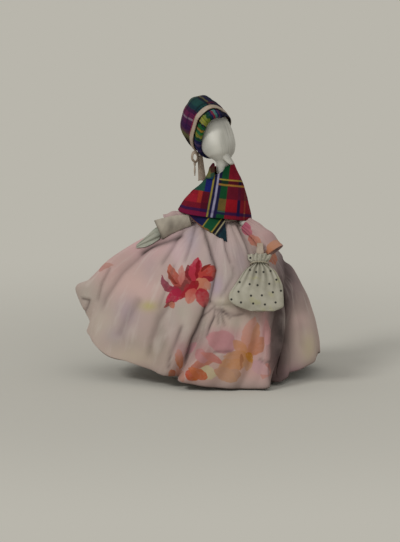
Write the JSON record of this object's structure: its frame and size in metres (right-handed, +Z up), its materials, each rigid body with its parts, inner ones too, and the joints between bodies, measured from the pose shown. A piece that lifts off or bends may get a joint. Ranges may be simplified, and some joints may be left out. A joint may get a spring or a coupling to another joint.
{
  "type": "clay pipe doll",
  "caption": "Doll made from an upturned clay tobacco pipe, dressed in a bonnet, kerchief and wide flowered skirt, with a small drawstring bag on its arm.",
  "frame": {"origin": "on the floor, under the middle of the whole doll's outline", "axes": "+Z up along the pipe's stem; -Y towards the viewer; the doll faces a little to the right of -Y"},
  "size_m": [0.1694, 0.1174, 0.1948],
  "materials": {
    "clay": "fired white clay, smooth and matte",
    "plaid_cloth": "woven wool check",
    "cream_ribbon": "thin ribbon",
    "flowered_cotton": "printed cotton",
    "white_cotton": "plain cotton",
    "grey_cotton": "plain cotton",
    "spotted_cotton": "spotted cotton",
    "thread": "linen thread"
  },
  "bodies": {
    "dressed_pipe": {"clay_pipe": "clay", "body_wrap": "white_cotton", "arm_roll": "white_cotton", "arm_binding": "thread", "kerchief": "plaid_cloth", "kerchief_point": "plaid_cloth", "kerchief_collar": "plaid_cloth", "petticoat": "white_cotton", "skirt": "flowered_cotton", "waist_thread": "thread", "sleeve_left": "flowered_cotton", "cuff_left": "grey_cotton", "handkerchief": "white_cotton", "sleeve_right": "flowered_cotton"},
    "bonnet": {"bonnet_crown": "plaid_cloth", "bonnet_brim": "plaid_cloth", "bonnet_ribbon_band": "cream_ribbon", "bonnet_tie_loop": "cream_ribbon", "bonnet_tie_tail": "cream_ribbon", "bonnet_tie_twist": "cream_ribbon"},
    "reticule": {"reticule_bag": "spotted_cotton", "reticule_drawstring": "thread", "reticule_loop": "cream_ribbon"}
  },
  "joints": [
    {"name": "bonnet_lift", "type": "slide", "parent": "dressed_pipe", "child": "bonnet", "axis": [-0.4494, 0.7784, 0.4384], "range_m": [0, 0.035]},
    {"name": "reticule_swing", "type": "hinge", "parent": "dressed_pipe", "child": "reticule", "pos_m": [0.04152, -0.0169, 0.0958], "axis": [-1, 0, 0], "range_deg": [0, 60]}
  ]
}
